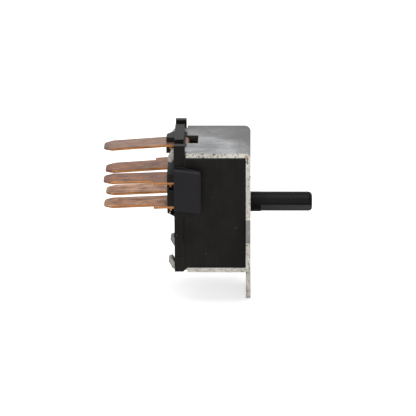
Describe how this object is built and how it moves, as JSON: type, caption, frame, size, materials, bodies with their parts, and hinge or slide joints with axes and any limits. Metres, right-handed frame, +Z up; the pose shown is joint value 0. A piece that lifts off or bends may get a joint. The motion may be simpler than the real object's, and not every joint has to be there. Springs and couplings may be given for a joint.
{
  "type": "blower control switch",
  "caption": "Rotary blower switch: black moulded body in a bent zinc-plated bracket, D shaft on the front, flat copper blades at the back.",
  "frame": {"origin": "on the shaft axis, at the bracket's front mounting face", "axes": "+X out along the shaft towards the knob, +Z up towards the single feed blade, blades along -X"},
  "size_m": [0.066, 0.042, 0.0544],
  "materials": {
    "zinc_plate": "dull zinc plating with stains and pits",
    "black_moulding": "satin moulded black",
    "black_acetal": "smooth moulded black",
    "copper": "tarnished copper",
    "silver": "satin silver",
    "spring_steel": "drawn wire",
    "bearing_steel": "polished"
  },
  "bodies": {
    "case": {"mounting_bracket": "zinc_plate", "housing": "black_moulding", "terminal_board": "black_moulding", "feed_terminal_1": "copper", "speed_terminal_2": "copper", "speed_terminal_3": "copper", "speed_terminal_4": "copper", "speed_terminal_5": "copper", "contact_rivet_2": "silver", "contact_rivet_3": "silver", "contact_rivet_4": "silver", "contact_rivet_5": "silver", "thrust_washer": "spring_steel", "detent_ring": "black_acetal"},
    "knob_shaft": {"shaft": "black_acetal", "rotor": "black_acetal", "rotor_clip": "spring_steel", "detent_spring_upper": "spring_steel", "detent_spring_lower": "spring_steel", "contact_spring": "spring_steel"},
    "upper_ball": {"detent_ball_upper": "bearing_steel"},
    "lower_ball": {"detent_ball_lower": "bearing_steel"},
    "disc": {"contact_disc": "copper", "wiper_contact": "silver"}
  },
  "joints": [
    {"name": "knob_turn", "type": "hinge", "parent": "case", "child": "knob_shaft", "pos_m": [0, 0, 0], "axis": [-1, 0, 0], "range_deg": [0, 120]},
    {"name": "upper_ball_travel", "type": "slide", "parent": "knob_shaft", "child": "upper_ball", "axis": [0, 0, 1], "range_m": [0, 0.0006], "stiffness_N_per_m": 50, "springref_m": 0.0012, "deforming": ["detent_spring_upper"]},
    {"name": "lower_ball_travel", "type": "slide", "parent": "knob_shaft", "child": "lower_ball", "axis": [0, 0, -1], "range_m": [0, 0.0006], "stiffness_N_per_m": 50, "springref_m": 0.0012, "deforming": ["detent_spring_lower"]},
    {"name": "disc_press", "type": "slide", "parent": "knob_shaft", "child": "disc", "axis": [-1, 0, 0], "range_m": [0, 0.0002], "stiffness_N_per_m": 300, "springref_m": 0.0015, "deforming": ["contact_spring"]}
  ]
}
